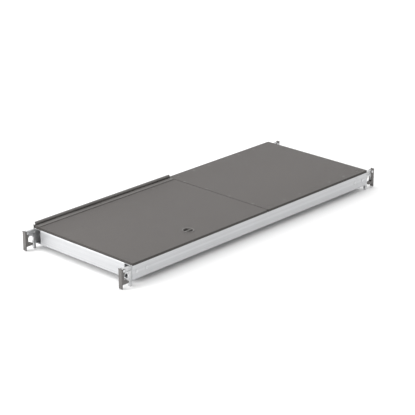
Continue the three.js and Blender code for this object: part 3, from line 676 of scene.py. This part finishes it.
CLEAT_WALL = 3 * MM
CLEAT_RIVET_INSET = 22 * MM  # from the cleat's corner, along each leg
PANEL_ROW = 4  # rivets across the panel, in a row
RIB_COUNT, RIB_PITCH = 6, 3.2 * MM
RIB_RADIUS, RIB_TAPER = 0.9 * MM, 0.4 * MM
RIBS_FROM_BOTTOM = 5 * MM
RIBS_PAST_HOOK = 7.2 * MM  # the lock's outer face, from the hook's end
RIBS_INSET = 2.2 * MM  # from each side of the lock


def cleat_rivets():
    """Two rivets through each leg of each cleat."""
    for edge, side in EDGES.items():
        for place in [*ENDS, "center"]:
            node = f"cleat_{edge}_{place}"
            low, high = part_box(node)
            toward = -ENDS.get(place, -1)
            corner_x = low.x if toward > 0 else high.x
            corner_y = high.y if side > 0 else low.y
            rivet = rivet_profile(SMALL_RIVET, CLEAT_GRIP, False)
            far, near = CLEAT_RIVET_INSET, CLEAT_WALL
            bm = bmesh.new()
            for z in spread(low.z, high.z, 2):
                on_beam = Vector((corner_x + toward * far, corner_y - side * near, z))
                on_cross = Vector((corner_x + toward * near, corner_y - side * far, z))
                add_turned(bm, rivet, on_beam, Vector((0, -side, 0)), segments=28)
                add_turned(bm, rivet, on_cross, Vector((toward, 0, 0)), segments=28)
            piece(f"cleat_rivets_{edge}_{place}", bm, zinc, "frame")


def panel_rivets():
    """Flush rivets along the rest of the fixed panel's edge, into the side, end and cross beams."""
    beam_y = middle("side_beam_rear").y
    fixed = sorted(middle(f"deck_rivet_front_{i}").x for i in (1, 2, 3))
    between = [a + (b - a) * share for a, b in zip(fixed, fixed[1:]) for share in (1 / 3, 2 / 3)]
    cross_x = (panel[0].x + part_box("center_cross_beam")[1].x) / 2
    end_x = middle("end_beam_right").x
    places = [(x, side * beam_y) for x in between for side in EDGES.values()]
    places += [(x, y) for x in (cross_x, end_x) for y in spread(-beam_y, beam_y, PANEL_ROW)]
    rivet = rivet_profile(FLUSH_RIVET, INNER_GRIP, False)
    bm = bmesh.new()
    for x, y in places:
        add_turned(bm, rivet, Vector((x, y, deck_top)), UP, segments=32)
    piece("deck_rivets_inner", bm, coat, "frame")


def lock_ribs():
    """Moulded grip ribs across the tail of each wind lock."""
    for corner in CORNERS:
        node = f"wind_lock_{corner}"
        low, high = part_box(node)
        side = ENDS[corner.split("_")[1]]
        hook_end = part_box(f"hook_{corner}")[1 if side > 0 else 0].x
        length = high.y - low.y - 2 * RIBS_INSET
        profile = [
            (0, 0),
            (RIB_RADIUS, RIB_TAPER),
            (RIB_RADIUS, length - RIB_TAPER),
            (0, length),
        ]
        x, y = hook_end + side * RIBS_PAST_HOOK, low.y + RIBS_INSET
        bm = bmesh.new()
        for i in range(RIB_COUNT):
            start = Vector((x, y, low.z + RIBS_FROM_BOTTOM + i * RIB_PITCH))
            add_turned(bm, profile, start, Vector((0, 1, 0)), segments=16)
        piece(f"{node}_ribs", bm, grey_nylon, node)


cleat_rivets()
panel_rivets()
lock_ribs()


# ---- Stage ---------------------------------------------------------------------------------------

CAMERA_PLACE = Vector((-5.104, -4.793, 2.738))  # from the left and the front, 21 degrees up
CAMERA_AIM = Vector((0, 0, 0.05))
CAMERA_LENS = 136
SENSOR_WIDTH = 36
FLOOR_HALF = 30
KEY_PLACE, KEY_AIM, KEY_SIZE, KEY_POWER = (-4.4, 2.0, 1.7), (0, 0, 0.1), (2.5, 2.0), 190
OVERHEAD_DIRECTION, OVERHEAD_STRENGTH, OVERHEAD_SPREAD = (-0.1, -0.15, -1), 0.9, 50
SURROUND_STRENGTH = 1.0


def floor():
    mesh = bpy.data.meshes.new("floor")
    half = FLOOR_HALF
    corners = [(-half, -half, 0), (half, -half, 0), (half, half, 0), (-half, half, 0)]
    mesh.from_pydata(corners, [], [(0, 1, 2, 3)])
    m = Finish("pale_floor", FLOOR_DARK, 0.8)
    m.color(m.mix(m.noise(2, 3), FLOOR_DARK, FLOOR_PALE))
    mesh.materials.append(m.material)
    obj = bpy.data.objects.new("floor", mesh)
    bpy.context.scene.collection.objects.link(obj)


def pointed(name, data, place, direction):
    """Puts a light or a camera at a place, looking along direction."""
    obj = bpy.data.objects.new(name, data)
    bpy.context.scene.collection.objects.link(obj)
    obj.location = place
    obj.rotation_euler = direction.to_track_quat("-Z", "Y").to_euler()
    return obj


def key_light():
    """A soft box from behind the left end, which makes that end the brightest face."""
    data = bpy.data.lights.new("key", "AREA")
    data.shape = "RECTANGLE"
    data.size, data.size_y = KEY_SIZE
    data.energy = KEY_POWER
    pointed("key", data, KEY_PLACE, Vector(KEY_AIM) - Vector(KEY_PLACE))


def overhead_light():
    """A wide, even light that falls the same way on the whole floor."""
    data = bpy.data.lights.new("overhead", "SUN")
    data.energy = OVERHEAD_STRENGTH
    data.angle = math.radians(OVERHEAD_SPREAD)
    pointed("overhead", data, (0, 0, 0), Vector(OVERHEAD_DIRECTION))


def camera():
    data = bpy.data.cameras.new("camera")
    data.sensor_width = SENSOR_WIDTH
    data.lens = CAMERA_LENS
    obj = pointed("camera", data, CAMERA_PLACE, CAMERA_AIM - CAMERA_PLACE)
    bpy.context.scene.camera = obj


def world():
    made = bpy.data.worlds.new("studio")
    made.use_nodes = True
    background = made.node_tree.nodes["Background"]
    background.inputs["Color"].default_value = (1, 1, 1, 1)
    background.inputs["Strength"].default_value = SURROUND_STRENGTH
    bpy.context.scene.world = made


floor()
key_light()
overhead_light()
camera()
world()
bpy.context.scene.view_settings.view_transform = "Standard"
